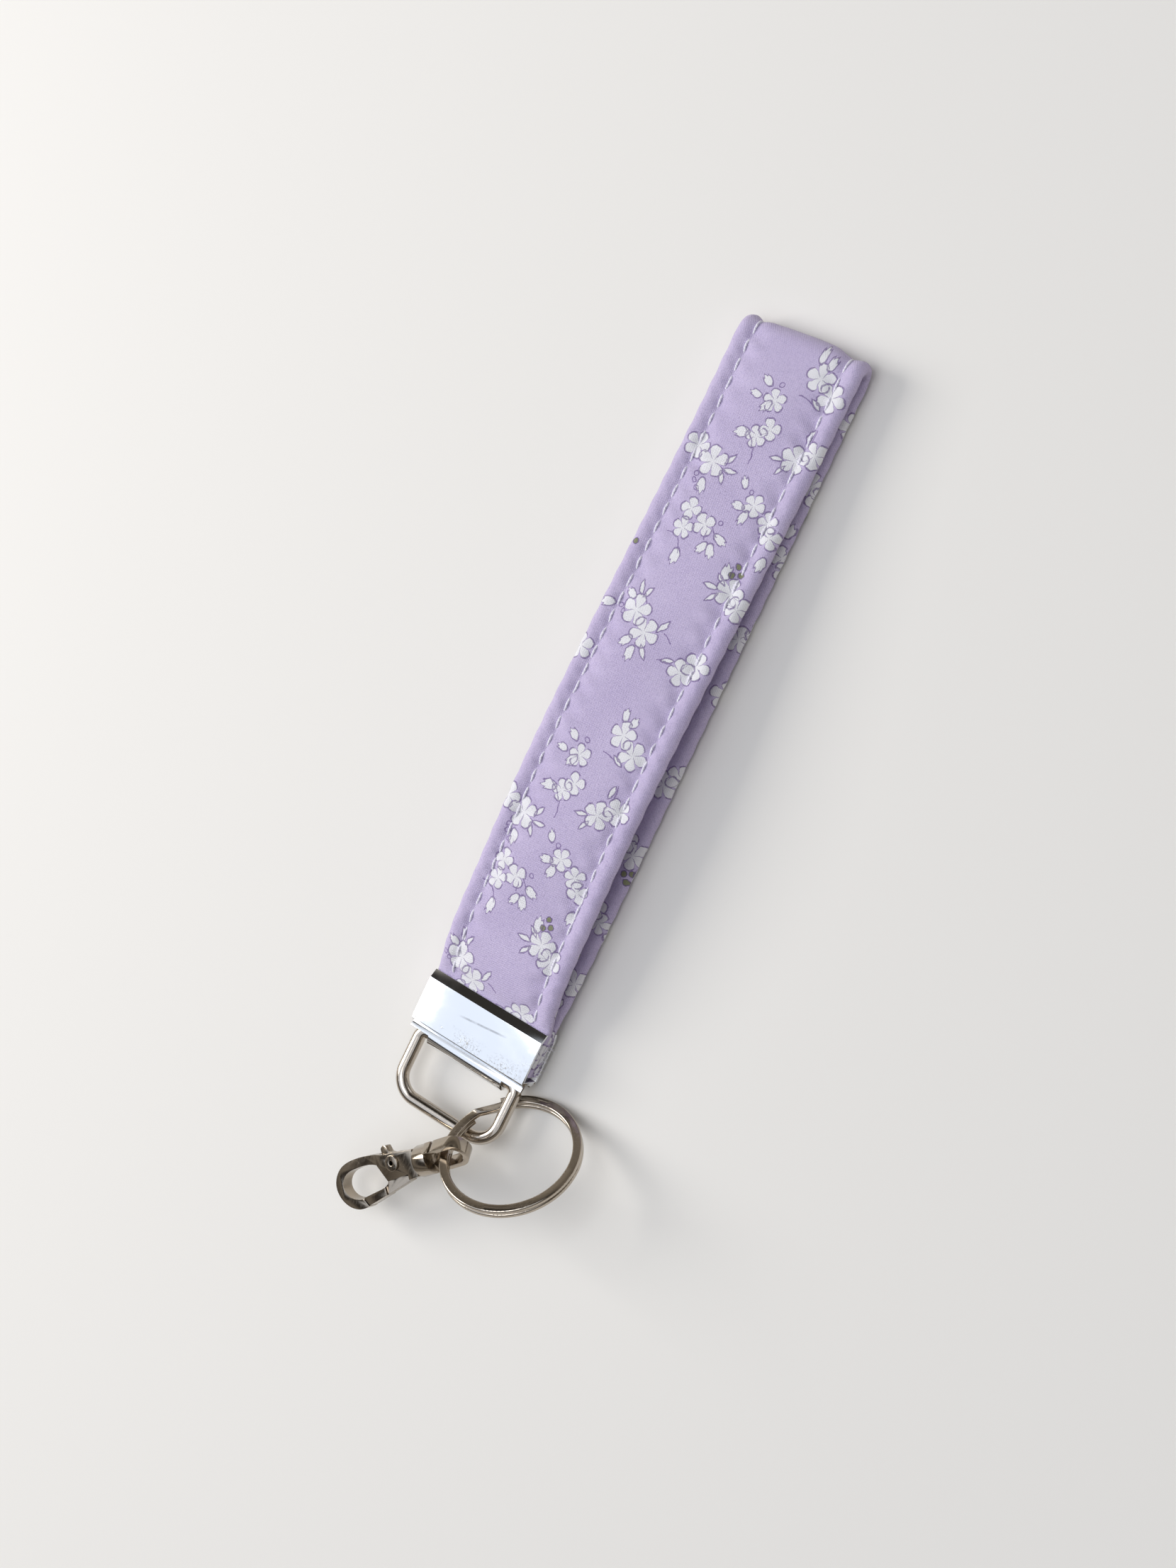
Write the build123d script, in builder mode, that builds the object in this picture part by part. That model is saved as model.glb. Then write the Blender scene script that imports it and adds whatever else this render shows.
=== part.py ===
from build123d import *
import math
import os

os.makedirs("parts", exist_ok=True)

# Wristlet keychain, in millimetres. X runs across the strap, Y along it towards the fold,
# and Z is up. The strap lies on its back half; the origin is the middle of that flat belly.

# ---- strap ----
strap_width = 25.4
strap_thickness = 3.4
strap_length = 130.5          # clamp lip to the outside of the fold
lip_y = -65.0                 # where the strap enters the clamp
fold_gap = 0.2                # between the two halves at the fold
loop_rise = 8.3               # height of the underside of the front half at its highest
cover_wall = 0.6
padding_start = 8.0           # the wadding starts this far above the lip
stitch_inset = 3.4            # stitch line to the strap's edge
thread_width = 0.45
thread_depth = 0.25

# ---- clamp ----
clamp_width = strap_width     # the clamp is sold for the strap's width
clamp_z = 4.4                 # middle of the clamp above the table
sheet = 0.7
clamp_gap = 4.5               # between the front and back plates
plate_end = 9.9               # lip edge to the bottom of the plates
roll_distance = 11.6          # lip edge to the axis of the wire loop
crease_distance = 1.6
jaw_bite = 0.9                # how far each lip bends in
cloth_clearance = 0.05

# ---- wire loop ----
wire_d = 2.5
wire_clearance = 0.08
leg_inset = 1.7               # clamp's end to the middle of the loop's leg
loop_depth = 12.2
loop_lift_deg = 1.5
roll_corner = 1.6
bar_corner = 4.5
loop_up_deg = 4.0             # swing towards the front plate
loop_down_deg = 45.0          # swing towards the back plate, till the ring meets the clamp

# ---- split ring ----
ring_outer_d = 25.9
ring_band = 1.7
coil_height = 0.96
coil_gap = 0.06
coil_round = 0.3
jog_deg = 16.0
ring_stack = 2 * coil_height + coil_gap
crossing_run = 6.447          # along the ring's slope from over the bar to under the right leg
ring_from_leg = 6.6           # across, from the leg's middle to the ring's centre
ring_from_bar = 2.6           # along, from the bar's middle to the ring's centre
ring_lean = Vector(-0.2924, 0.9563, 0)           # the way the ring's face leans
eye_direction = Vector(-0.86, -0.45, 0.173)      # ring centre to the swivel eye
jog_direction = Vector(-0.80, 0.22, -0.43)       # ring centre to the cross-over

# ---- swivel clasp ----
clasp_axis = Vector(-0.70, -0.68, -0.22).normalized()
clasp_up = Vector(-0.18, -0.22, 0.96)
wire_to_barrel = 4.5          # ring wire to the middle of the barrel
barrel_d = 5.8
barrel_length = 3.0
eye_length = 8.0              # barrel to the outside of the eye
eye_band = 0.95
eye_band_width = 2.4
post_d = 1.6
post_head_d = 2.4
post_head_height = 0.7
running = 0.08
swivel_gap = 0.3
base_length = 2.1
housing_thickness = 3.6
slot_width = 1.7
lever_thickness = 1.5
hook_thickness = 2.4
pivot = (7.1, 1.2)
rivet_shank_d = 1.7
rivet_hole_d = 0.9
rivet_flange_d = 2.9
rivet_flange = 0.35
spring_pocket_d = 3.0
spring_pocket_depth = 0.45
spring_wire = 0.28


def finish(part, node):
    """Labels a finished piece and writes its STEP file."""
    part.label = node
    export_step(part, f"parts/{node}.step")


# =============== strap ===============
fold_y = lip_y + strap_length
fold_height = 2 * strap_thickness + fold_gap
fold_start = fold_y - fold_height / 2
cloth_end = lip_y - plate_end + 0.9
cloth_half = clamp_gap / 2 - cloth_clearance
neck_half = cloth_half - jaw_bite
slit = 0.1                    # half the gap between the two pressed strap ends


top = loop_rise + strap_thickness
belly_start = lip_y + 26      # from here to the fold the back half lies flat
crest_y = lip_y + 45          # where the front half stands highest
rise_y = lip_y + 20
slope_y = (crest_y + fold_start) / 2
slope_drop = 0.53 * (top - fold_height)
neck_y = lip_y + 0.4
turn_start = fold_start + 0.3


def front_slope(start_height, end_height, end_y):
    """Curve from the crest of the front half down to the fold."""
    middle = (start_height + end_height) / 2 + (0.5 * (top - fold_height) - slope_drop)
    Spline((crest_y, start_height), (slope_y, middle), (end_y, end_height),
           tangents=((1, 0), (1, 0)))


def front_face(inset):
    """Front half's outer face, from the crest to the fold, inset from the cotton's surface."""
    front_slope(top - inset, fold_height - inset, fold_start)


def front_lining(inset):
    """Front half's inner face, from the crest to the fold."""
    front_slope(loop_rise + inset, strap_thickness + fold_gap + inset, turn_start)


def neck_rise(inset):
    """Outer face from the clamp's lip up to the crest."""
    Spline((neck_y, clamp_z + neck_half - inset), (lip_y + 4, clamp_z + 4.1 - inset),
           (rise_y, top - 0.9 - inset), (crest_y, top - inset), tangents=((0.6, 1), (1, 0)))


def neck_belly(inset):
    """Outer face of the back half from the flat belly up to the clamp's lip."""
    Spline((belly_start, inset), (lip_y + 10, 0.5 + inset),
           (neck_y, clamp_z - neck_half + inset), tangents=((-1, 0), (-1, 0.9)))


def fold_and_belly(inset):
    """Outer face from the end of the front half, round the fold and along the flat belly."""
    ThreePointArc((fold_start, fold_height - inset), (fold_y - inset, fold_height / 2),
                  (fold_start, inset))
    Line((fold_start, inset), (belly_start, inset))


def inner_turn(inset):
    """Inner face round the fold and back along the upper side of the back half."""
    low, high = strap_thickness - inset, strap_thickness + fold_gap + inset
    ThreePointArc((turn_start, high), (turn_start + (high - low) / 2, (low + high) / 2),
                  (turn_start, low))
    Line((turn_start, low), (belly_start, low))


with BuildLine() as strap_outline:
    pocket_y = lip_y + 1.5    # where the two pressed ends part
    neck_rise(0)
    front_face(0)
    fold_and_belly(0)
    neck_belly(0)
    Polyline((neck_y, clamp_z - neck_half), (lip_y - 0.9, clamp_z - neck_half),
             (lip_y - 2.7, clamp_z - cloth_half), (cloth_end, clamp_z - cloth_half),
             (cloth_end, clamp_z - slit), (pocket_y, clamp_z - slit))
    Spline((pocket_y, clamp_z - slit), (lip_y + 12, strap_thickness + 0.25),
           (belly_start, strap_thickness), tangents=((1, 0), (1, 0)))
    inner_turn(0)
    front_lining(0)
    Spline((pocket_y, clamp_z + slit), (lip_y + 8, loop_rise - 2.7), (rise_y, loop_rise - 0.9),
           (crest_y, loop_rise), tangents=((1, 0.1), (1, 0)))
    Polyline((pocket_y, clamp_z + slit), (cloth_end, clamp_z + slit),
             (cloth_end, clamp_z + cloth_half), (lip_y - 2.7, clamp_z + cloth_half),
             (lip_y - 0.9, clamp_z + neck_half), (neck_y, clamp_z + neck_half))

with BuildLine() as padding_outline:
    # the same band, drawn inside the cotton and starting above the lip
    start_y = lip_y + padding_start
    front_start = clamp_z + 4.3
    lining_start = loop_rise - 2.7 + cover_wall
    Spline((start_y, front_start), (rise_y, top - 0.9 - cover_wall), (crest_y, top - cover_wall),
           tangents=((1, 0.35), (1, 0)))
    front_face(cover_wall)
    fold_and_belly(cover_wall)
    Spline((belly_start, cover_wall), (start_y, cover_wall + 0.8), tangents=((-1, 0), (-1, 0.15)))
    Line((start_y, cover_wall + 0.8), (start_y, strap_thickness - 0.1))
    Spline((start_y, strap_thickness - 0.1), (belly_start, strap_thickness - cover_wall),
           tangents=((1, -0.1), (1, 0)))
    inner_turn(cover_wall)
    front_lining(cover_wall)
    Spline((start_y, lining_start), (rise_y, loop_rise - 0.9 + cover_wall),
           (crest_y, loop_rise + cover_wall), tangents=((1, 0.25), (1, 0)))
    Line((start_y, lining_start), (start_y, front_start))

with BuildLine() as below_thread:
    # the folded strap with its opening filled, less the depth that the thread sinks in
    neck_rise(thread_depth)
    front_face(thread_depth)
    fold_and_belly(thread_depth)
    neck_belly(thread_depth)
    Line((neck_y, clamp_z - neck_half + thread_depth), (neck_y, clamp_z + neck_half - thread_depth))

seam_width = stitch_inset + 0.4

with BuildPart() as strap_padding:
    with BuildSketch(Plane.YZ):
        make_face(padding_outline.edges())
    extrude(amount=strap_width / 2 - seam_width, both=True)
finish(strap_padding.part, "strap_padding")

stitch_channels = []
for side, name in ((-1, "topstitch_left"), (1, "topstitch_right")):
    stitch_x = side * (strap_width / 2 - stitch_inset)
    with BuildPart() as channel:
        with Locations((stitch_x, neck_y, 0)):
            Box(thread_width, strap_length + 1, 4 * top,
                align=(Align.CENTER, Align.MIN, Align.CENTER))
        with BuildSketch(Plane.YZ.offset(stitch_x)):
            make_face(below_thread.edges())
        extrude(amount=thread_width, both=True, mode=Mode.SUBTRACT)
    stitch_channels.append(channel.part)
    with BuildPart() as topstitch:
        with BuildSketch(Plane.YZ.offset(stitch_x)):
            make_face(strap_outline.edges())
        extrude(amount=thread_width, both=True)
        add(channel.part, mode=Mode.INTERSECT)
    finish(topstitch.part, name)

with BuildPart() as strap_cover:
    with BuildSketch(Plane.YZ):
        make_face(strap_outline.edges())
    extrude(amount=strap_width / 2, both=True)
    add([strap_padding.part, *stitch_channels], mode=Mode.SUBTRACT)
finish(strap_cover.part, "strap_cover")

# =============== clamp ===============
roll_y = lip_y - roll_distance
wire_r = wire_d / 2
bore_r = wire_r + wire_clearance
roll_r = bore_r + sheet
plate_y = lip_y - plate_end
crease_y = lip_y - crease_distance
outer_half = clamp_gap / 2 + sheet
loop_half_width = clamp_width / 2 - leg_inset
slot_start = loop_half_width - wire_r - 1.2
slot_margin_deg = 85.0        # room for the bend of the wire, each way

with BuildPart() as clamp:
    with BuildSketch(Plane.YZ):
        with BuildSketch(mode=Mode.PRIVATE) as outer:
            with BuildLine():
                Polyline((plate_y, clamp_z - outer_half), (crease_y, clamp_z - outer_half),
                         (lip_y, clamp_z - outer_half + jaw_bite),
                         (lip_y, clamp_z + outer_half - jaw_bite),
                         (crease_y, clamp_z + outer_half), (plate_y, clamp_z + outer_half),
                         (roll_y + 0.9, clamp_z + roll_r - 0.15),
                         (roll_y + 0.9, clamp_z - roll_r + 0.15), close=True)
            make_face()
        add(outer.sketch)
        with Locations((roll_y, clamp_z)):
            Circle(roll_r)
        with BuildSketch(mode=Mode.PRIVATE) as hollow:
            with BuildLine():
                Polyline((plate_y + 0.3, clamp_z - clamp_gap / 2),
                         (crease_y - 0.3, clamp_z - clamp_gap / 2),
                         (lip_y, clamp_z - clamp_gap / 2 + jaw_bite),
                         (lip_y, clamp_z + clamp_gap / 2 - jaw_bite),
                         (crease_y - 0.3, clamp_z + clamp_gap / 2),
                         (plate_y + 0.3, clamp_z + clamp_gap / 2), close=True)
            make_face()
        add(hollow.sketch, mode=Mode.SUBTRACT)
        with Locations((roll_y, clamp_z)):
            Circle(bore_r, mode=Mode.SUBTRACT)
    extrude(amount=clamp_width / 2, both=True)
    # slots at both ends of the roll, where the legs of the wire loop swing
    for side in (-1, 1):
        with BuildSketch(Plane.YZ.offset(side * (slot_start + clamp_width / 2) / 2)):
            front = 180 - loop_up_deg - loop_lift_deg - slot_margin_deg
            back = 180 + loop_down_deg + slot_margin_deg
            with BuildLine():
                reach = 3.2
                centre = Vector(roll_y, clamp_z)
                rim = [centre + Vector(reach * math.cos(math.radians(a)),
                                       reach * math.sin(math.radians(a)))
                       for a in (front, (3 * front + back) / 4, (front + back) / 2,
                                 (front + 3 * back) / 4, back)]
                Polyline(centre, *rim, close=True)
            make_face()
        extrude(amount=(clamp_width / 2 - slot_start) / 2 + 0.1, both=True, mode=Mode.SUBTRACT)
finish(clamp.part, "clamp")

# =============== wire loop ===============
lift = math.radians(loop_lift_deg)
loop_plane = Plane(origin=(0, roll_y, clamp_z), x_dir=(1, 0, 0),
                   z_dir=(0, math.sin(lift), math.cos(lift)))

with BuildPart() as wire_loop:
    with BuildLine(loop_plane) as loop_path:
        w, d = loop_half_width, loop_depth
        Line((0, 0), (w - roll_corner, 0))
        CenterArc((w - roll_corner, -roll_corner), roll_corner, 90, -90)
        Line((w, -roll_corner), (w, -d + bar_corner))
        CenterArc((w - bar_corner, -d + bar_corner), bar_corner, 0, -90)
        Line((w - bar_corner, -d), (-w + bar_corner, -d))
        CenterArc((-w + bar_corner, -d + bar_corner), bar_corner, 270, -90)
        Line((-w, -d + bar_corner), (-w, -roll_corner))
        CenterArc((-w + roll_corner, -roll_corner), roll_corner, 180, -90)
        Line((-w + roll_corner, 0), (0, 0))
    with BuildSketch(Plane(origin=loop_plane.origin, x_dir=loop_plane.y_dir, z_dir=(1, 0, 0))):
        Circle(wire_r)
    sweep(path=loop_path.wires()[0])
finish(wire_loop.part, "wire_loop")

# =============== split ring ===============
# The ring lies over the bar and under the right leg, so its slope follows the wire's thickness.
lean_sine = (wire_d + ring_stack) / crossing_run
lean_cosine = math.sqrt(1 - lean_sine**2)
ring_normal = (ring_lean.normalized() * lean_sine + Vector(0, 0, lean_cosine)).normalized()
ring_rise = ring_outer_d / 2 * lean_sine + ring_stack / 2 * lean_cosine - coil_round / 3
ring_centre = Vector(loop_half_width + ring_from_leg, roll_y - loop_depth + ring_from_bar, ring_rise)
ring_axis = Axis(ring_centre, ring_normal)
jog_flat = jog_direction - ring_normal * jog_direction.dot(ring_normal)
ring_plane = Plane(origin=ring_centre, x_dir=jog_flat, z_dir=ring_normal)
band_middle = (ring_outer_d - ring_band) / 2
coil_level = (coil_height + coil_gap) / 2


def coil_section(angle_deg, level):
    """Rounded section of the ring wire at an angle round the ring and a height along its axis."""
    angle = math.radians(angle_deg)
    outward = ring_plane.x_dir * math.cos(angle) + ring_plane.y_dir * math.sin(angle)
    plane = Plane(origin=ring_centre, x_dir=outward, z_dir=outward.cross(ring_normal))
    with BuildSketch(plane) as section:
        with Locations((band_middle, level)):
            RectangleRounded(ring_band, coil_height, coil_round)
    return section.sketch


with BuildPart() as split_ring:
    half_jog = jog_deg / 2
    add(coil_section(half_jog + 6, -coil_level))
    revolve(axis=ring_axis, revolution_arc=360 - jog_deg - 6)
    add(coil_section(half_jog, coil_level))
    revolve(axis=ring_axis, revolution_arc=360 - jog_deg - 6)
    loft(sections=[coil_section(-half_jog, -coil_level), coil_section(half_jog, coil_level)])
finish(split_ring.part, "split_ring")

# =============== swivel eye ===============
eye_flat = eye_direction - ring_normal * eye_direction.dot(ring_normal)
eye_outward = eye_flat.normalized()
ring_wire = ring_centre + eye_outward * band_middle
barrel_centre = ring_wire + clasp_axis * wire_to_barrel
eye_normal = ring_normal.cross(eye_outward)
eye_flat_normal = eye_normal - clasp_axis * eye_normal.dot(clasp_axis)
eye_plane = Plane(origin=barrel_centre, x_dir=clasp_axis, z_dir=eye_flat_normal)
barrel_half = barrel_length / 2
eye_tip = -barrel_half - eye_length
eye_half = barrel_d / 2
post_end = barrel_half + swivel_gap + base_length

with BuildPart() as swivel_eye:
    with BuildSketch(eye_plane):
        with Locations(((eye_tip - barrel_half) / 2 + 0.2, 0)):
            RectangleRounded(eye_length + 0.4, 2 * eye_half, eye_half - 0.05)
        with Locations((-barrel_half - 0.5, 0)):
            Rectangle(1.4, 2 * eye_half)
        with Locations(((eye_tip + eye_band - barrel_half) / 2, 0)):
            SlotOverall(eye_length - eye_band, 2 * (eye_half - eye_band), mode=Mode.SUBTRACT)
    extrude(amount=eye_band_width / 2, both=True)
    with BuildSketch(Plane(origin=barrel_centre, z_dir=clasp_axis).offset(-barrel_half)):
        Circle(barrel_d / 2)
    extrude(amount=barrel_length)
    with BuildSketch(Plane(origin=barrel_centre, z_dir=clasp_axis).offset(barrel_half)):
        Circle(post_d / 2)
    extrude(amount=post_end + running - barrel_half)
    with BuildSketch(Plane(origin=barrel_centre, z_dir=clasp_axis).offset(post_end + running)):
        Circle(post_head_d / 2)
    extrude(amount=post_head_height)
finish(swivel_eye.part, "swivel_eye")

# =============== hook body ===============
# In the clasp's plane x runs from the swivel to the hook's end and y towards the thumb tab.
hook_up = clasp_up - clasp_axis * clasp_up.dot(clasp_axis)
hook_plane = Plane(origin=barrel_centre, x_dir=clasp_axis, z_dir=hook_up * -1)
base_start = barrel_half + swivel_gap
base_end = base_start + base_length
nose_r = 10.75
nose_outer_deg, nose_inner_deg = -35.3, -26.0


def about_pivot(radius, angle_deg):
    """Point at a distance and angle from the gate's pivot, in the clasp's plane."""
    angle = math.radians(angle_deg)
    return (pivot[0] + radius * math.cos(angle), pivot[1] + radius * math.sin(angle))


slot_base = base_end + 1.2
with BuildPart() as hook_body:
    with BuildSketch(hook_plane):
        with BuildLine():
            Polyline((base_start, -2.5), (base_end + 0.2, -2.6), (base_end + 0.2, -1.55),
                     (9.2, -1.75), (10.9, 1.5), (10.7, 3.55), (8.9, 3.1), (base_start, 2.5),
                     close=True)
        make_face()
    extrude(amount=housing_thickness / 2, both=True)
    with BuildSketch(hook_plane):
        nose_outer = about_pivot(nose_r, nose_outer_deg)
        nose_inner = about_pivot(nose_r, nose_inner_deg)
        with BuildLine():
            Line((10.0, 0.9), (10.0, 3.4))
            Spline((10.0, 3.4), (13.5, 3.85), (17.5, 3.85), (20.7, 2.9), (22.6, 0.2), (21.9, -2.7),
                   (19.6, -4.7), nose_outer)
            Line(nose_outer, nose_inner)
            Spline(nose_inner, (18.7, -3.1), (20.4, -1.9), (20.9, -0.2), (19.7, 1.5),
                   (16.8, 2.2), (13.0, 2.1), (10.0, 0.9))
        make_face()
    extrude(amount=hook_thickness / 2, both=True)
    # slot for the gate lever, bore for the post and pocket for its head
    with BuildSketch(hook_plane):
        with BuildLine():
            Polyline((slot_base, -4), (10.6, -4), (10.6, 5), (slot_base, 5), close=True)
        make_face()
    extrude(amount=slot_width / 2, both=True, mode=Mode.SUBTRACT)
    with BuildSketch(Plane(origin=barrel_centre, z_dir=clasp_axis)):
        Circle(post_d / 2 + running)
    extrude(amount=base_end + 0.5, mode=Mode.SUBTRACT)
    with BuildSketch(Plane(origin=barrel_centre, z_dir=clasp_axis).offset(base_end)):
        Circle(post_head_d / 2 + running)
    extrude(amount=post_head_height + 2 * running, mode=Mode.SUBTRACT)
    with BuildSketch(hook_plane):
        with Locations(pivot):
            Circle(rivet_shank_d / 2)
    extrude(amount=housing_thickness, both=True, mode=Mode.SUBTRACT)
finish(hook_body.part, "hook_body")

# =============== gate lever ===============
tip_r = nose_r - 0.25
arm_start = base_end + 0.6

with BuildPart() as gate_lever:
    with BuildSketch(hook_plane):
        tip_outer = about_pivot(tip_r, nose_outer_deg - 0.6)
        tip_inner = about_pivot(tip_r, nose_inner_deg + 0.4)
        with BuildLine():
            Polyline((arm_start, -2.75), tip_outer, tip_inner, (11.6, -2.75), (10.3, -2.1),
                     (9.7, -1.0), (9.5, 1.8), (9.9, 3.2), (9.9, 4.3), (9.3, 4.75), (8.6, 4.6),
                     (8.2, 3.4), (6.4, 2.5), (5.75, 1.4), (5.6, -0.9), (5.5, -1.7), (arm_start, -1.85),
                     close=True)
        make_face()
    extrude(amount=lever_thickness / 2, both=True)
    with BuildSketch(hook_plane):
        with BuildLine():
            Polyline((10.9, -4.05), tip_outer, tip_inner, (11.6, -2.75), (10.9, -2.55), close=True)
        make_face()
    extrude(amount=hook_thickness / 2, both=True)
    with BuildSketch(hook_plane):
        with Locations(pivot):
            Circle(rivet_shank_d / 2 + running)
    extrude(amount=lever_thickness, both=True, mode=Mode.SUBTRACT)
    with BuildSketch(hook_plane.offset(-lever_thickness / 2)):
        with Locations(pivot):
            Circle(spring_pocket_d / 2)
    extrude(amount=spring_pocket_depth, mode=Mode.SUBTRACT)
finish(gate_lever.part, "gate_lever")

# =============== gate spring and rivet ===============
pivot_on_plane = hook_plane.from_local_coords(Vector(pivot[0], pivot[1], 0))
pivot_axis = Axis(pivot_on_plane, hook_plane.z_dir)

with BuildPart() as gate_spring:
    spring_level = -lever_thickness / 2 + spring_pocket_depth / 2
    with BuildSketch(hook_plane.offset(spring_level)):
        with Locations(pivot):
            Circle(spring_pocket_d / 2 - 0.1)
            Circle(spring_pocket_d / 2 - 0.1 - spring_wire, mode=Mode.SUBTRACT)
    extrude(amount=spring_wire / 2, both=True)
finish(gate_spring.part, "gate_spring")

with BuildPart() as rivet:
    with BuildSketch(hook_plane):
        with Locations(pivot):
            Circle(rivet_shank_d / 2)
    extrude(amount=housing_thickness / 2 + rivet_flange, both=True)
    for side in (-1, 1):
        with BuildSketch(hook_plane.offset(side * (housing_thickness + rivet_flange) / 2)):
            with Locations(pivot):
                Circle(rivet_flange_d / 2)
        extrude(amount=rivet_flange / 2, both=True)
    with BuildSketch(hook_plane):
        with Locations(pivot):
            Circle(rivet_hole_d / 2)
    extrude(amount=housing_thickness, both=True, mode=Mode.SUBTRACT)
finish(rivet.part, "rivet")
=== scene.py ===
import math
import random

import bpy
import numpy as np
from mathutils import Euler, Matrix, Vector


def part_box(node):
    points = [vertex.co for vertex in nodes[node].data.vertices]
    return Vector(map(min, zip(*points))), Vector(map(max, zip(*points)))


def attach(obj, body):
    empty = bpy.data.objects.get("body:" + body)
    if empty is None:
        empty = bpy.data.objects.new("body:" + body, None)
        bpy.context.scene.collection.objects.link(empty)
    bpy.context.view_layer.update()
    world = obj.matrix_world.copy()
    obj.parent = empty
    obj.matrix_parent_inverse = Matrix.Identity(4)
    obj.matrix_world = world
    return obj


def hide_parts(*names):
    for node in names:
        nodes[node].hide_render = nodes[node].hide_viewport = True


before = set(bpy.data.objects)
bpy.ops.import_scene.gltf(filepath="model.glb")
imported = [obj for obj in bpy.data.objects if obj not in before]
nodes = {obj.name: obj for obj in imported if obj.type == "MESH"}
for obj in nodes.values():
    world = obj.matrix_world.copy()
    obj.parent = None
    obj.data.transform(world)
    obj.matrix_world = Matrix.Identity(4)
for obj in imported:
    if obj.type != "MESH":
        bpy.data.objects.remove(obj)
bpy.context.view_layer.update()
mm = 0.001

# ---- the strap, as the frame gives it ----
cover_low, cover_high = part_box("strap_cover")
clamp_low, clamp_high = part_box("clamp")
half_width = (cover_high.x - cover_low.x) / 2
lip_y = clamp_high.y
fold_y = cover_high.y
crest_height = cover_high.z
clamp_z = (clamp_low.z + clamp_high.z) / 2
thickness = 3.4 * mm
fold_gap = 0.2 * mm
fold_height = 2 * thickness + fold_gap
seam_inset = 3.4 * mm            # stitch line to the strap's edge
stitch_length = 3.5 * mm
thread_radius = 0.23 * mm
pucker_pitch = 4.6 * mm
edge_turn = 1.0 * mm             # cloth that goes round each edge
path_step = 0.5 * mm
press_run = 4.5 * mm             # from the clamp's lip to where the strap is full
inside_clamp = 8.6 * mm          # how far the strap reaches into the clamp
clear_of_table = 0.02 * mm
same_point = 0.002 * mm


# =============== small helpers ===============
def clean_start():
    """Nothing selected, and no mode but object mode."""
    if bpy.context.object and bpy.context.object.mode != "OBJECT":
        bpy.ops.object.mode_set(mode="OBJECT")
    bpy.ops.object.select_all(action="DESELECT")


def make_active(piece):
    """Only this piece selected, and the one that operators act on."""
    clean_start()
    piece.select_set(True)
    bpy.context.view_layer.objects.active = piece


def new_mesh_piece(name, points, faces, uvs=None):
    """A piece from points and faces, with one UV pair for each corner where they are given."""
    mesh = bpy.data.meshes.new(name)
    mesh.from_pydata(points, [], faces)
    if uvs is not None:
        layer = mesh.uv_layers.new(name="cloth")
        layer.data.foreach_set("uv", np.asarray(uvs, float).ravel())
    piece = bpy.data.objects.new(name, mesh)
    bpy.context.scene.collection.objects.link(piece)
    return piece


def apply_modifier(piece, kind, **settings):
    """Adds a modifier with these settings and makes its result the mesh."""
    make_active(piece)
    modifier = piece.modifiers.new(kind.lower(), kind)
    for key, value in settings.items():
        setattr(modifier, key, value)
    bpy.ops.object.modifier_apply(modifier=modifier.name)


def face_outwards(piece, merge_within=None):
    """Turns every face outwards, after near points are merged where a distance is given."""
    make_active(piece)
    bpy.ops.object.mode_set(mode="EDIT")
    bpy.ops.mesh.select_all(action="SELECT")
    if merge_within is not None:
        bpy.ops.mesh.remove_doubles(threshold=merge_within)
    bpy.ops.mesh.normals_make_consistent(inside=False)
    bpy.ops.object.mode_set(mode="OBJECT")


def tube_faces(base, steps, around):
    """Faces of a closed thread whose rings of points follow one another from base."""
    faces = []
    for step in range(steps - 1):
        for k in range(around):
            n = (k + 1) % around
            faces.append((base + step * around + k, base + step * around + n,
                          base + (step + 1) * around + n, base + (step + 1) * around + k))
    faces.append(tuple(base + k for k in range(around))[::-1])
    faces.append(tuple(base + (steps - 1) * around + k for k in range(around)))
    return faces


def smooth_shade(piece, angle_deg):
    """Smooth shading, with edges sharper than the angle left crisp."""
    make_active(piece)
    bpy.ops.object.shade_smooth_by_angle(angle=math.radians(angle_deg))


def ease(value):
    """Smooth step from 0 to 1."""
    value = np.clip(value, 0, 1)
    return value * value * (3 - 2 * value)


# =============== shader maths ===============
class Value:
    """A socket that holds a number, so that shader maths reads as plain sums."""

    def __init__(self, shader, socket):
        self.shader = shader
        self.socket = socket

    def maths(self, operation, *others, swap=False):
        inputs = [self, *others]
        if swap:
            inputs.reverse()
        return self.shader.number("ShaderNodeMath", {"operation": operation},
                                  {i: value for i, value in enumerate(inputs)})

    def __add__(self, other):
        return self.maths("ADD", other)

    def __radd__(self, other):
        return self.maths("ADD", other)

    def __sub__(self, other):
        return self.maths("SUBTRACT", other)

    def __rsub__(self, other):
        return self.maths("SUBTRACT", other, swap=True)

    def __mul__(self, other):
        return self.maths("MULTIPLY", other)

    def __rmul__(self, other):
        return self.maths("MULTIPLY", other)

    def __truediv__(self, other):
        return self.maths("DIVIDE", other)

    def __lt__(self, other):
        return self.maths("LESS_THAN", other)

    def root(self):
        return self.maths("SQRT")

    def sine(self):
        return self.maths("SINE")

    def size(self):
        return self.maths("ABSOLUTE")

    def at_most(self, other):
        return self.maths("MINIMUM", other)

    def at_least(self, other):
        return self.maths("MAXIMUM", other)


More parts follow.
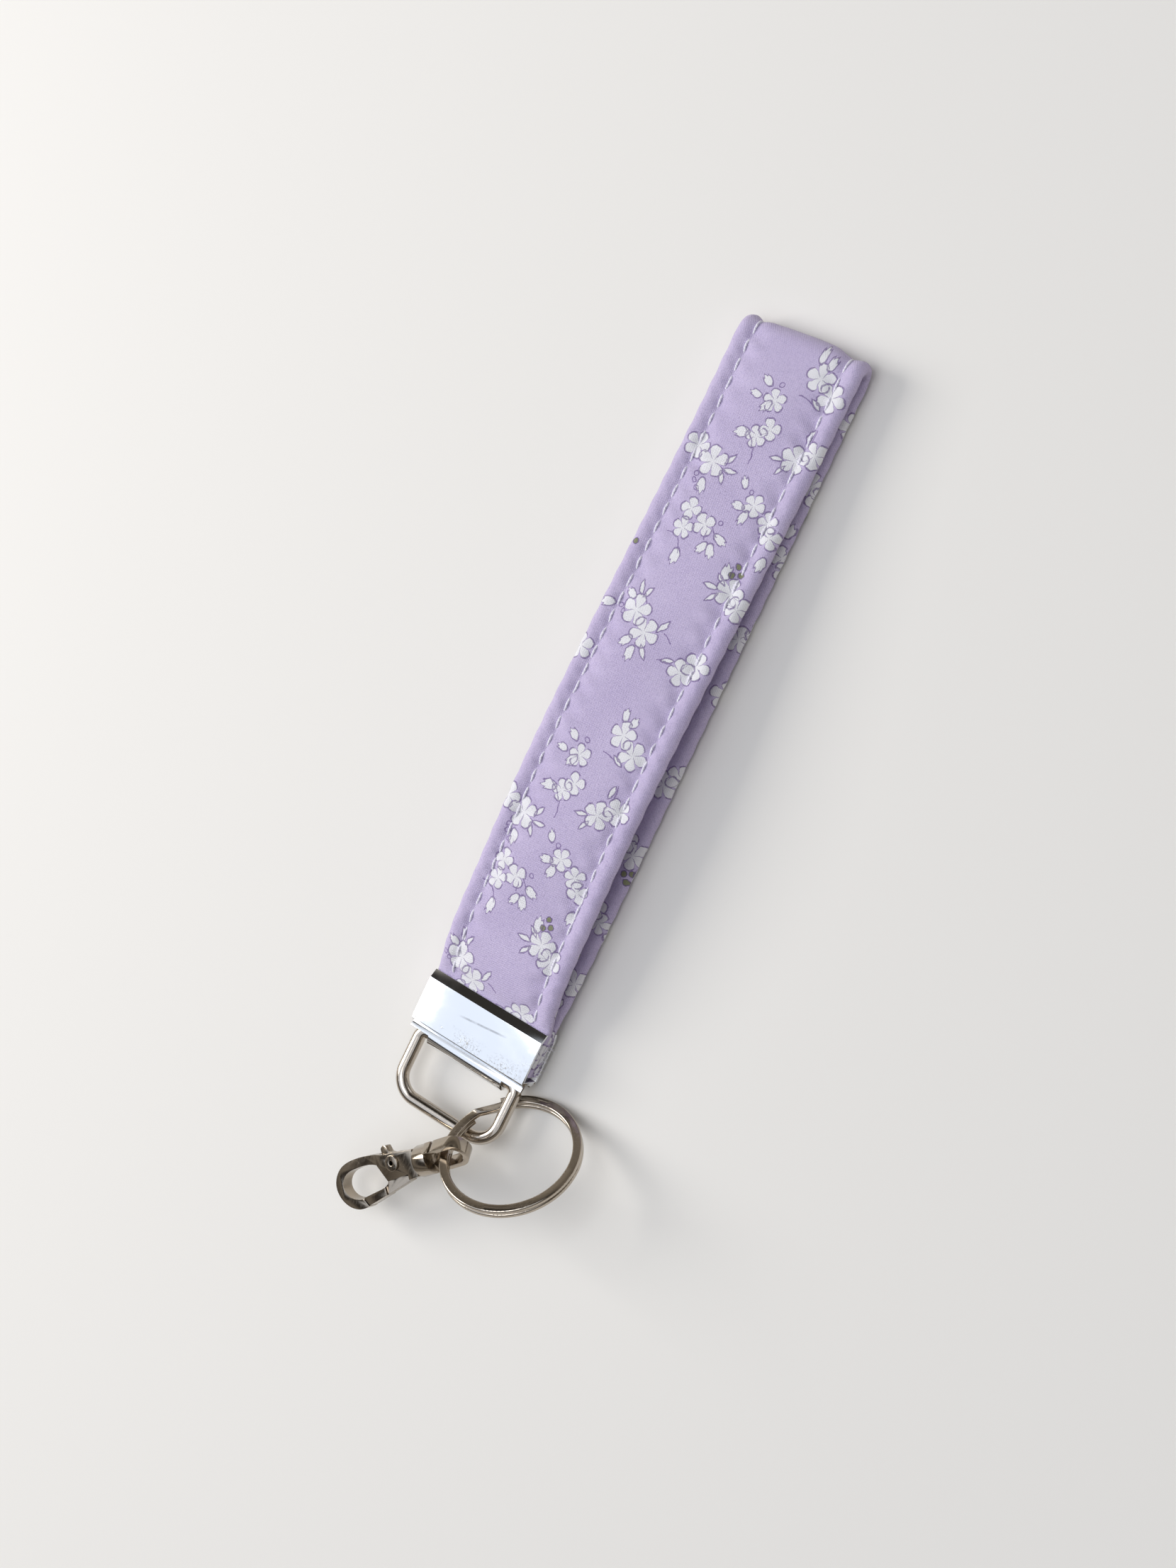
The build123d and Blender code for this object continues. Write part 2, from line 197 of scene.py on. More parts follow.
class Shader:
    """A new material and the nodes in it."""

    def __init__(self, name):
        self.material = bpy.data.materials.new(name)
        self.material.use_nodes = True
        self.tree = self.material.node_tree
        self.surface = self.tree.nodes["Principled BSDF"]

    def node(self, kind, settings=None, inputs=None):
        made = self.tree.nodes.new(kind)
        for key, value in (settings or {}).items():
            if key == "stops":
                self.set_stops(made.color_ramp, value)
            else:
                setattr(made, key, value)
        for key, value in (inputs or {}).items():
            self.feed(made.inputs[key], value)
        return made

    def set_stops(self, ramp, stops):
        while len(ramp.elements) < len(stops):
            ramp.elements.new(0.5)
        for element, (position, colour) in zip(ramp.elements, stops):
            element.position = position
            element.color = (*colour, 1)

    def feed(self, socket, value):
        if isinstance(value, Value):
            value = value.socket
        if isinstance(value, bpy.types.NodeSocket):
            self.tree.links.new(value, socket)
        elif isinstance(value, tuple) and len(value) == 3 and socket.type == "RGBA":
            socket.default_value = (*value, 1)
        else:
            socket.default_value = value

    def number(self, kind, settings=None, inputs=None, output=0):
        return Value(self, self.node(kind, settings, inputs).outputs[output])

    def set(self, **values):
        for key, value in values.items():
            self.feed(self.surface.inputs[key.replace("_", " ")], value)

    def place(self):
        return self.node("ShaderNodeTexCoord").outputs["Object"]

    def noise(self, scale, detail=3.0, roughness=0.5, vector=None):
        inputs = {"Scale": scale, "Detail": detail, "Roughness": roughness}
        inputs["Vector"] = vector or self.place()
        return self.number("ShaderNodeTexNoise", None, inputs)

    def ramp(self, value, low, high, start=0.0, end=1.0):
        """value from low..high to start..end, clipped."""
        return self.number("ShaderNodeMapRange", {"clamp": True},
                           {"Value": value, "From Min": low, "From Max": high,
                            "To Min": start, "To Max": end})

    def mix(self, amount, first, second):
        made = self.node("ShaderNodeMix", {"data_type": "RGBA"})
        self.feed(made.inputs["Factor"], amount)
        self.feed(made.inputs[6], first)
        self.feed(made.inputs[7], second)
        return made.outputs[2]

    def bump(self, height, distance, strength=1.0, below=None):
        inputs = {"Height": height, "Distance": distance, "Strength": strength}
        if below is not None:
            inputs["Normal"] = below
        return self.node("ShaderNodeBump", None, inputs).outputs["Normal"]


# =============== strap ===============
def strap_path():
    """Middle line of the strap from the clamp over the front, round the fold and back below."""
    half = thickness / 2
    inside = lip_y - inside_clamp
    front = [(inside, clamp_z + 1.05 * mm), (lip_y - 2.0 * mm, clamp_z + 0.75 * mm),
             (lip_y + 0.2 * mm, clamp_z + 0.85 * mm), (lip_y + 3.4 * mm, clamp_z + 2.2 * mm),
             (lip_y + 8 * mm, clamp_z + 3.6 * mm), (lip_y + 20 * mm, crest_height - 0.9 * mm - half),
             (lip_y + 45 * mm, crest_height - half), (lip_y + 68 * mm, crest_height - 1.15 * mm - half),
             (lip_y + 92 * mm, fold_height + 1.75 * mm - half),
             (lip_y + 112 * mm, fold_height + 0.45 * mm - half)]
    fold_centre = fold_y - fold_height / 2
    turn = (fold_height - thickness) / 2
    fold = [(fold_centre + turn * math.sin(a), fold_height / 2 + turn * math.cos(a))
            for a in np.radians(np.arange(0, 181, 20))]
    back = [(lip_y + 112 * mm, half), (lip_y + 80 * mm, half), (lip_y + 50 * mm, half),
            (lip_y + 26 * mm, half), (lip_y + 12 * mm, half + 0.35 * mm),
            (lip_y + 5 * mm, clamp_z - 1.75 * mm), (lip_y + 0.2 * mm, clamp_z - 0.85 * mm),
            (lip_y - 2.0 * mm, clamp_z - 0.75 * mm), (inside, clamp_z - 1.05 * mm)]
    return np.array(front + fold + back)


def resample(points, step):
    """Points evenly spaced along a smooth curve through the given ones."""
    curve = bpy.data.curves.new("path", "CURVE")
    curve.dimensions = "3D"
    spline = curve.splines.new("BEZIER")
    spline.bezier_points.add(len(points) - 1)
    for bezier, (y, z) in zip(spline.bezier_points, points):
        bezier.co = (0, y, z)
        bezier.handle_left_type = "AUTO"
        bezier.handle_right_type = "AUTO"
    spline.resolution_u = 24
    holder = bpy.data.objects.new("path", curve)
    mesh = bpy.data.meshes.new_from_object(holder)
    line = np.array([vertex.co[1:] for vertex in mesh.vertices])
    bpy.data.objects.remove(holder)
    bpy.data.meshes.remove(mesh)
    bpy.data.curves.remove(curve)
    along = np.r_[0, np.cumsum(np.linalg.norm(np.diff(line, axis=0), axis=1))]
    count = int(round(along[-1] / step))
    wanted = np.linspace(0, along[-1], count + 1)
    return np.c_[np.interp(wanted, along, line[:, 0]), np.interp(wanted, along, line[:, 1])], wanted


path, path_length = resample(strap_path(), path_step)
tangent = np.gradient(path, axis=0)
tangent /= np.linalg.norm(tangent, axis=1)[:, None]
outward = np.c_[-tangent[:, 1], tangent[:, 0]]       # away from the loop's inside
seam_x = half_width - seam_inset


def pressed(y):
    """0 in the open, 1 where the clamp presses the strap flat."""
    return 1 - ease((y - lip_y) / press_run)


def cloth_height(x, along, y, side):
    """Height of the cotton above the strap's middle line, at a place across and along it."""
    edge_radius = 1.75 * mm
    groove_inside, groove_outside = 1.75 * mm, 0.95 * mm
    pucker_height, rope_height, wave_height = 0.28 * mm, 0.11 * mm, 0.10 * mm
    pressed_core, pressed_round = 0.46 * mm, 0.48 * mm
    away = np.abs(x)
    edge_room = half_width - away
    half = thickness / 2
    # full between the seams, round over the edges, and drawn in along the stitches
    crown = half * (0.90 + 0.16 * np.cos(x / seam_x * math.pi / 2))
    edge_round = np.sqrt(np.clip(1 - (1 - np.clip(edge_room / edge_radius, 0, 1)) ** 2, 0, 1))
    seam_gap = away - seam_x
    phase = 2 * math.pi * (along / stitch_length + 0.13 * np.sin(along * 310) * np.sign(x))
    hold = 0.5 + 0.5 * np.cos(phase)
    draw = (0.62 + 0.22 * hold) * mm
    width = np.where(seam_gap < 0, groove_inside, groove_outside)
    groove = draw * np.exp(-np.abs(seam_gap / width) ** 1.35)
    pucker_phase = 2 * math.pi * along / pucker_pitch + 1.7 * np.sin(along * 190 + np.sign(x))
    pucker = pucker_height * np.cos(pucker_phase) * np.exp(-((seam_gap + 1.6 * mm) / (1.5 * mm)) ** 2)
    rope = rope_height * np.cos(phase) * np.exp(-((seam_gap - 1.4 * mm) / (0.9 * mm)) ** 2)
    wave = wave_height * (np.sin(along * 260 + x * 190 + side) + np.sin(along * 143 - x * 330 + 2 * side))
    open_height = (crown + wave * ease(edge_room / (5 * mm))) * edge_round - groove + pucker + rope
    flat_height = pressed_core + pressed_round * edge_round
    press = pressed(y)
    return open_height * (1 - press) + flat_height * press


def build_wadding():
    """The flat wadding inside the cotton, kept clear of the seams and the clamp."""
    rows = [i for i in range(0, len(path), 4)
            if path[i, 0] > lip_y + 9 * mm]
    across = 24
    reach = seam_x - 0.9 * mm
    top_x = reach * np.sin(np.linspace(-1, 1, across) * math.pi / 2)
    ring_x = np.r_[top_x, top_x[::-1]]
    side = np.r_[np.ones(across), -np.ones(across)]
    count = len(ring_x)
    points = []
    for index in rows:
        y, z = path[index]
        height = 0.95 * mm * np.sqrt(np.clip(1 - (ring_x / reach) ** 4, 0, 1)) * side
        points.append(np.c_[ring_x, y + outward[index, 0] * height, z + outward[index, 1] * height])
    faces = [(r * count + c, (r + 1) * count + c,
              (r + 1) * count + (c + 1) % count, r * count + (c + 1) % count)
             for r in range(len(rows) - 1) for c in range(count)]
    faces.append(tuple(range(count))[::-1])
    faces.append(tuple((len(rows) - 1) * count + c for c in range(count)))
    piece = new_mesh_piece("wadding_band", np.array(points).reshape(-1, 3).tolist(), faces)
    face_outwards(piece, merge_within=0.001 * mm)
    smooth_shade(piece, 60)
    return piece


def build_strap():
    """One closed sleeve of cotton that follows the path."""
    across = 84
    inner_x = np.linspace(-1, 1, across)
    crowding = math.pi / 2 * 0.93        # how far the columns crowd towards the edges
    top_x = half_width * np.sin(inner_x * crowding) / math.sin(crowding)
    top_x = 0.55 * top_x + 0.45 * half_width * inner_x
    ring_x = np.r_[top_x, top_x[::-1]]
    ring_side = np.r_[np.ones(across), -np.ones(across)]
    count = len(ring_x)
    points, uvs = [], []
    for index, (y, z) in enumerate(path):
        along = path_length[index]
        bulge = 0.10 * mm * np.sin(2 * math.pi * along / pucker_pitch) * (1 - pressed(y))
        x = ring_x * (1 + bulge / half_width * 0.6)
        height = cloth_height(ring_x, along, y, ring_side) * ring_side
        # the inner faces are drawn in round the fold, where there is no room for the wadding
        room = np.where(ring_side < 0, 1 - 0.12 * fold_nearness(y), 1.0)
        height = height * room
        py = y + outward[index, 0] * height
        pz = z + outward[index, 1] * height
        points.append(np.c_[x, py, pz])
    points = np.array(points)
    # nothing sinks below the table
    points[:, :, 2] = np.maximum(points[:, :, 2], clear_of_table)
    rows = len(path)
    faces = []
    for row in range(rows - 1):
        for column in range(count):
            nxt = (column + 1) % count
            faces.append((row * count + column, (row + 1) * count + column,
                          (row + 1) * count + nxt, row * count + nxt))
            corners = ((row, column), (row + 1, column), (row + 1, column + 1), (row, column + 1))
            uvs.extend((cloth_u(c, count, across, ring_x), path_length[r]) for r, c in corners)
    for row in (0, rows - 1):
        loop = [row * count + column for column in range(count)]
        if row == 0:
            loop.reverse()
        faces.append(tuple(loop))
        uvs.extend([(ring_x[i % count], path_length[row]) for i in range(count)])
    return new_mesh_piece("strap_cotton", points.reshape(-1, 3).tolist(), faces, uvs)


def fold_nearness(y):
    """0 along the strap, 1 at its fold."""
    return ease((y - (fold_y - 14 * mm)) / (10 * mm))


def cloth_u(column, count, across, ring_x):
    """Distance across the cloth, which runs on round the edges onto the other face."""
    if column < across:
        return ring_x[column]
    if column == count:
        return ring_x[0] + 4 * half_width + 2 * edge_turn
    return 2 * half_width + edge_turn - ring_x[column]


strap = build_strap()
wadding_band = build_wadding()
face_outwards(strap)
smooth_shade(strap, 80)


# =============== stitches ===============
def surface_point(index, x, side, lift):
    """A point on the strap's face over the path, raised by a little."""
    y, z = path[index]
    height = (float(cloth_height(np.array([x]), path_length[index], y, side)[0]) + lift) * side
    return Vector((x, y + outward[index, 0] * height, z + outward[index, 1] * height))


def build_stitches(name, x, side):
    """A row of separate stitches, each a short thread that dives into the cloth at both ends."""
    points, faces = [], []
    around = 8
    visible = [i for i in range(len(path)) if path[i, 0] > lip_y + 0.6 * mm]
    start, end = path_length[visible[0]], path_length[visible[-1]]
    count = int((end - start) / stitch_length)
    rng = random.Random(11 if side > 0 else 17)
    for stitch in range(count):
        first = start + (stitch + 0.08) * stitch_length
        last = start + (stitch + 0.92) * stitch_length
        sway = rng.uniform(-0.08, 0.08) * mm
        base = len(points)
        steps = 9
        for step in range(steps):
            part = step / (steps - 1)
            at = first + (last - first) * part
            index = min(int(round(at / path_step)), len(path) - 1)
            lift = thread_radius * (-1.2 + 2.0 * math.sin(math.pi * part) ** 0.6)
            centre = surface_point(index, x + sway * math.sin(math.pi * part), side, lift)
            beyond = at - path_length[index]
            centre.y += tangent[index, 0] * beyond
            centre.z += tangent[index, 1] * beyond
            sidewards = Vector((1, 0, 0))
            up = Vector((0, outward[index, 0], outward[index, 1]))
            radius = thread_radius * (0.55 + 0.45 * math.sin(math.pi * part) ** 0.5)
            for k in range(around):
                angle = 2 * math.pi * k / around
                points.append(centre + sidewards * radius * math.cos(angle) + up * radius * math.sin(angle))
        faces.extend(tube_faces(base, steps, around))
    piece = new_mesh_piece(name, points, faces)
    face_outwards(piece)
    smooth_shade(piece, 60)
    return piece


stitches = {}
for row, x in (("left", -seam_x), ("right", seam_x)):
    for face, side in (("outer", 1), ("inner", -1)):
        stitches[row, face] = build_stitches(f"stitches_{row}_{face}", x, side)


# =============== frayed ends ===============
def build_fray():
    """Loose threads at the cut end of the back half, beside the clamp."""
    rng = random.Random(5)
    points, faces = [], []
    around = 6
    for _ in range(46):
        x = half_width - rng.uniform(-0.1, 1.2) * mm
        y = lip_y - rng.uniform(0.2, 9.2) * mm
        z = clamp_z - rng.uniform(0.3, 1.9) * mm
        direction = Vector((rng.uniform(0.4, 1.2), rng.uniform(-0.9, 0.5), rng.uniform(-0.8, 0.6)))
        direction = direction.normalized()
        curl = Vector((rng.uniform(-1, 1), rng.uniform(-1, 1), rng.uniform(-1, 0.5))) * 0.5
        length = rng.uniform(0.4, 1.3) * mm
        base = len(points)
        steps = 6
        for step in range(steps):
            part = step / (steps - 1)
            centre = Vector((x, y, z)) + (direction * part + curl * part * part) * length
            radius = 0.055 * mm * (1 - 0.5 * part)
            for k in range(around):
                angle = 2 * math.pi * k / around
                points.append(centre + Vector((0, math.cos(angle), math.sin(angle))) * radius)
        faces.extend(tube_faces(base, steps, around))
    piece = new_mesh_piece("frayed_threads", points, faces)
    face_outwards(piece)
    return piece


fray = build_fray()


# =============== metal pieces with softened edges ===============
def merged_copy(node, name, flatten=False):
    """A copy of a piece's mesh, with its loose triangles joined up and its flats made whole."""
    mesh = nodes[node].data.copy()
    mesh.name = name
    mesh.materials.clear()
    piece = bpy.data.objects.new(name, mesh)
    bpy.context.scene.collection.objects.link(piece)
    make_active(piece)
    if mesh.has_custom_normals:
        bpy.ops.mesh.customdata_custom_splitnormals_clear()
    bpy.ops.object.mode_set(mode="EDIT")
    bpy.ops.mesh.select_all(action="SELECT")
    bpy.ops.mesh.remove_doubles(threshold=same_point)
    if flatten:
        bpy.ops.mesh.dissolve_limited(angle_limit=math.radians(1))
    bpy.ops.object.mode_set(mode="OBJECT")
    return piece


def soften(node, name, width):
    """A copy of a metal piece with its sharp edges rounded off."""
    piece = merged_copy(node, name, flatten=True)
    apply_modifier(piece, "BEVEL", width=width, segments=3, limit_method="ANGLE",
                   angle_limit=math.radians(28), harden_normals=False)
    smooth_shade(piece, 40)
    return piece


def smooth_wire(node, name):
    """A smooth-shaded copy of a piece bent from wire or sheet."""
    piece = merged_copy(node, name)
    smooth_shade(piece, 40)
    return piece


clamp = soften("clamp", "clamp_plate", 0.14 * mm)
hook = soften("hook_body", "hook_casting", 0.22 * mm)
lever = soften("gate_lever", "gate_casting", 0.2 * mm)
eye = soften("swivel_eye", "eye_casting", 0.22 * mm)
rivet = soften("rivet", "rivet_tube", 0.1 * mm)
wire_loop = smooth_wire("wire_loop", "loop_wire")
split_ring = smooth_wire("split_ring", "ring_wire")
gate_spring = smooth_wire("gate_spring", "gate_leaf")


# =============== materials ===============
FLOWERS = [  # across, along, radius, petals, turn, all in mm and degrees
    (6.4, 59.0, 2.4, 5, 10), (9.6, 56.6, 2.5, 5, 40), (0.6, 52.4, 2.0, 5, 0), (2.2, 47.6, 1.9, 4, 20),
    (0.4, 45.6, 1.9, 5, 60), (-9.2, 40.2, 2.3, 5, 30), (-5.0, 38.6, 2.7, 5, 5), (8.6, 44.6, 2.4, 5, 15),
    (11.6, 46.6, 2.3, 5, 50), (5.8, 34.6, 2.0, 5, 33), (9.4, 32.8, 1.9, 5, 70), (11.0, 30.6, 1.9, 4, 15),
    (-4.6, 29.6, 1.9, 4, 40), (-4.4, 26.0, 1.9, 5, 10), (-1.0, 28.0, 2.0, 4, 0), (9.0, 19.2, 2.5, 5, 20),
    (11.6, 17.2, 2.2, 5, 45), (-5.2, 9.6, 2.7, 5, 12), (-1.8, 6.6, 2.6, 5, 44), (-12.0, -0.4, 2.3, 5, 0),
    (9.6, 5.4, 2.4, 5, 30), (7.6, 3.2, 2.3, 5, 60)]
BUDS = [  # across, along, length, turn in degrees
    (5.2, 62.6, 1.5, 100), (7.4, 62.0, 1.5, 70), (-2.4, 55.4, 1.6, 150), (-0.6, 50.8, 1.7, 240),
    (-3.4, 52.4, 1.5, 170), (-2.8, 45.2, 2.0, 200), (-4.8, 33.6, 1.9, 290), (2.2, 37.8, 1.5, 120),
    (2.8, 33.4, 1.7, 190), (4.8, 31.6, 1.8, 260), (-3.4, 20.6, 2.0, 270), (0.4, 24.0, 1.7, 240),
    (2.4, 24.0, 1.8, 290), (3.4, 26.6, 1.8, 340), (6.8, 22.6, 2.0, 100), (-7.8, 12.0, 1.6, 150),
    (-4.6, 3.8, 1.8, 230), (-2.6, 2.0, 1.9, 270), (-11.4, 8.6, 1.9, 200), (11.6, 25.6, 1.8, 260)]
LEAVES = [  # across, along, length, turn in degrees
    (-1.2, 38.2, 1.7, 10), (-2.2, 36.6, 1.5, 300), (-2.0, 40.2, 1.5, 60), (-6.2, 13.6, 1.6, 110),
    (-4.6, 13.2, 1.5, 60), (5.4, 19.0, 1.7, 180), (6.4, 17.2, 1.5, 230), (6.6, 20.8, 1.4, 140),
    (1.0, 9.0, 1.8, 60), (-0.4, 3.4, 1.6, 310), (5.6, 43.6, 1.5, 190), (7.0, 42.0, 1.4, 240),
    (9.2, 49.4, 1.6, 80), (7.6, 54.6, 1.5, 330), (4.4, 4.0, 1.5, 200)]
STEMS = [  # from across, along to across, along
    (-2.6, 46.6, 0.8, 43.6), (0.8, 43.6, 1.2, 40.6), (4.2, 55.0, 7.0, 54.4), (1.6, 8.0, 3.6, 6.8),
    (-7.0, 24.4, -4.4, 24.0), (-4.4, 24.0, -3.2, 21.6), (2.4, 26.8, 0.6, 28.4), (0.4, 25.6, 0.2, 27.4),
    (9.8, 51.0, 9.8, 48.0), (2.6, 3.4, 6.0, 3.6), (-3.8, 11.4, -5.0, 13.0), (-0.6, 37.8, -3.2, 38.4)]
RINGS = [  # across, along
    (4.2, 36.6), (-6.6, 34.4), (-5.6, 33.2), (1.8, 29.4), (-7.6, 8.4), (-8.6, 9.2), (-6.8, 35.6), (0.6, 55.4)]
GREEN_DOTS = [(8.2, 24.0), (9.2, 22.8), (7.9, 22.2), (-11.6, 20.4)]      # across, along
FLOWER_SCALE = 1.1                        # the printed flowers against the radii above
PRINT_TOP, PRINT_BOTTOM = 65.0, -5.0      # the print starts again beyond these, in mm
PRINT_HALF_WIDTH = 14.2                   # and beyond this on either side
PRINT_SHIFT = 3.0                         # each repeat lies this far across from the one above
INK_WANDER = 0.6                          # how far the ink strays, in mm
THREAD_PITCH = 0.42                       # of the weave, in mm


def print_marks(shader, across, along):
    """Masks of the print: white shapes, thin dark lines and green dots."""
    white, line, green = None, None, None

    def join(old, new):
        return new if old is None else old.at_least(new)

    repeat = along.maths("WRAP", PRINT_TOP, PRINT_BOTTOM)
    across = across - (along - repeat) * (PRINT_SHIFT / (PRINT_TOP - PRINT_BOTTOM))
    across = across.maths("WRAP", PRINT_HALF_WIDTH, -PRINT_HALF_WIDTH)
    for x, y, radius, petals, turn in FLOWERS:
        dx, dy = across - x, repeat - y
        reach = (dx * dx + dy * dy).root()
        angle = dy.maths("ARCTAN2", dx)
        petal = (angle * (petals / 2) + math.radians(turn) * petals / 2).sine().size()
        notch = (angle * petals + math.radians(turn) * petals).maths("COSINE").at_least(0.72) - 0.72
        full = radius * FLOWER_SCALE
        edge = petal.maths("POWER", 0.42) * (0.52 * full) + 0.48 * full - notch * (0.9 * full)
        inside = edge - reach
        white = join(white, shader.ramp(inside, -0.03, 0.10))
        rim = 1 - shader.ramp((inside - 0.02).size(), 0.08, 0.22)
        between = 1 - shader.ramp(petal, 0.10, 0.34)
        rays = between * (1 - shader.ramp((reach - 0.30 * radius).size(), 0.13 * radius, 0.20 * radius))
        line = join(line, rim.at_least(rays * 0.8))
    for shapes, width in ((BUDS, 0.42), (LEAVES, 0.30)):
        for x, y, length, turn in shapes:
            c, s = math.cos(math.radians(turn)), math.sin(math.radians(turn))
            dx, dy = across - x, repeat - y
            ahead = (dx * c + dy * s) / length
            beside = (dy * c - dx * s) / length
            if shapes is BUDS:   # a bell with three teeth
                teeth = (beside * 13.5).maths("COSINE") * 0.20
                cup = (ahead + 0.12) * 1.2
                round_cup = (1.0 - cup * cup - beside * beside * 4.6) * 0.32
                inside = round_cup.at_most(0.50 + teeth - ahead)
            else:
                inside = (1 - ahead * ahead * 1.3) * width - beside.size()
            white = join(white, shader.ramp(inside * length, -0.03, 0.10))
            line = join(line, 1 - shader.ramp((inside * length - 0.02).size(), 0.07, 0.20))
    for x0, y0, x1, y1 in STEMS:
        span = math.hypot(x1 - x0, y1 - y0)
        c, s = (x1 - x0) / span, (y1 - y0) / span
        dx, dy = across - (x0 + x1) / 2, repeat - (y0 + y1) / 2
        ahead = dx * c + dy * s
        bow = ahead * ahead * 0.09 - 0.2
        beside = (dy * c - dx * s + bow).size()
        stem = (ahead.size() < span / 2) * (1 - shader.ramp(beside, 0.05, 0.15))
        line = join(line, stem)
    for x, y in RINGS:
        dx, dy = across - x, repeat - y
        line = join(line, 1 - shader.ramp(((dx * dx + dy * dy).root() - 0.42).size(), 0.05, 0.14))
    for x, y in GREEN_DOTS:
        dx, dy = across - x, repeat - y
        reach = (dx * dx + dy * dy).root()
        green_dot = 1 - shader.ramp(reach, 0.50, 0.58)
        green = join(green, green_dot)
        line = join(line, 1 - shader.ramp((reach - 0.56).size(), 0.05, 0.14))
    return white, line, green


def printed_cotton():
    """Lilac plain-weave cotton with its flower print."""
    shader = Shader("printed_cotton")
    uv = shader.node("ShaderNodeUVMap", {"uv_map": "cloth"}).outputs["UV"]
    split = shader.node("ShaderNodeSeparateXYZ", None, {0: uv})
    across = Value(shader, split.outputs[0]) / mm
    along = Value(shader, split.outputs[1]) / mm
    # the ink wanders a little, as printing on cloth does
    wander = shader.node("ShaderNodeTexNoise", None, {"Vector": uv, "Scale": 900.0, "Detail": 2.0})
    drift = shader.node("ShaderNodeSeparateXYZ", None, {0: wander.outputs["Color"]})
    print_x = across + (Value(shader, drift.outputs[0]) - 0.5) * INK_WANDER
    print_y = along - cloth_at_middle + (Value(shader, drift.outputs[1]) - 0.5) * INK_WANDER
    white, line, green = print_marks(shader, print_x, print_y)
    # plain weave
    pitch = 2 * math.pi / THREAD_PITCH
    warp = (across * pitch).sine()
    weft = (along * pitch).sine()
    weave = (warp * weft) * 0.5 + 0.5
    threads = (across * (pitch * 2)).sine().size() * 0.5 + (along * (pitch * 2)).sine().size() * 0.5
    slub = shader.noise(3000.0, 3.0, 0.6)
    mottle = shader.noise(120.0, 3.0)
    ground = shader.mix(shader.ramp(mottle, 0.3, 0.7), (0.500, 0.415, 0.630), (0.570, 0.480, 0.695))
    ground = shader.mix(weave * 0.38, ground, (0.74, 0.68, 0.83))
    ground = shader.mix(shader.ramp(slub, 0.45, 0.75, 0.0, 0.42), ground, (0.33, 0.27, 0.48))
    paint = shader.mix(white * 0.93, ground, (0.83, 0.82, 0.84))
    paint = shader.mix(green * 0.9, paint, (0.20, 0.22, 0.09))
    paint = shader.mix(line * shader.ramp(slub, 0.25, 0.6, 0.95, 0.6), paint, (0.13, 0.07, 0.24))
    cloth = weave * 0.6 + threads * 0.25 + slub * 0.5
    fuzz = shader.bump(shader.noise(480.0, 2.0), 0.05 * mm, 0.35)
    shader.set(Base_Color=paint, Roughness=shader.ramp(slub, 0.2, 0.8, 0.78, 0.95),
               Normal=shader.bump(cloth, 0.10 * mm, 1.0, fuzz))
    shader.surface.inputs["Sheen Weight"].default_value = 0.25
    shader.surface.inputs["Sheen Roughness"].default_value = 0.5
    shader.surface.inputs["Specular IOR Level"].default_value = 0.2
    return shader.material


def sewing_thread():
    """Pale twisted thread."""
    shader = Shader("sewing_thread")
    place = shader.place()
    twist = shader.node("ShaderNodeTexWave", {"wave_type": "BANDS", "bands_direction": "DIAGONAL"},
                        {"Vector": place, "Scale": 900.0, "Distortion": 1.5})
    twisted = Value(shader, twist.outputs["Fac"])
    colour = shader.mix(twisted, (0.66, 0.62, 0.74), (0.86, 0.84, 0.90))
    shader.set(Base_Color=colour, Roughness=shader.ramp(twisted, 0, 1, 0.7, 0.5),
               Normal=shader.bump(twisted, 0.04 * mm, 0.7))
    shader.surface.inputs["Sheen Weight"].default_value = 0.4
    return shader.material


def nickel(name, tone, rough, smudge=0.0, pits=0.3):
    """Bright nickel plating: faint waves, fine hairlines and handling marks."""
    shader = Shader(name)
    clouds = shader.noise(260.0, 4.0, 0.6)
    grain = shader.noise(1700.0, 3.0, 0.65)
    stretch = shader.node("ShaderNodeMapping", None,
                          {"Vector": shader.place(), "Scale": (4000.0, 260.0, 4000.0),
                           "Rotation": (0.0, 0.0, 0.5)}).outputs[0]
    hairlines = shader.noise(1.0, 2.0, 0.5, stretch)
    marks = shader.ramp(clouds, 0.55, 0.72)
    colour = shader.mix(shader.ramp(grain, 0.62, 0.78) * pits, tone, tuple(c * 0.35 for c in tone))
    rough_map = shader.ramp(hairlines, 0.45, 0.75, rough, rough + 0.10) + marks * (0.10 + 0.2 * smudge)
    wave = shader.bump(clouds, 0.08 * mm, 0.16)
    shader.set(Base_Color=colour, Metallic=1.0, Roughness=rough_map,
               Normal=shader.bump(grain, 0.012 * mm, 0.35, wave))
    return shader.material


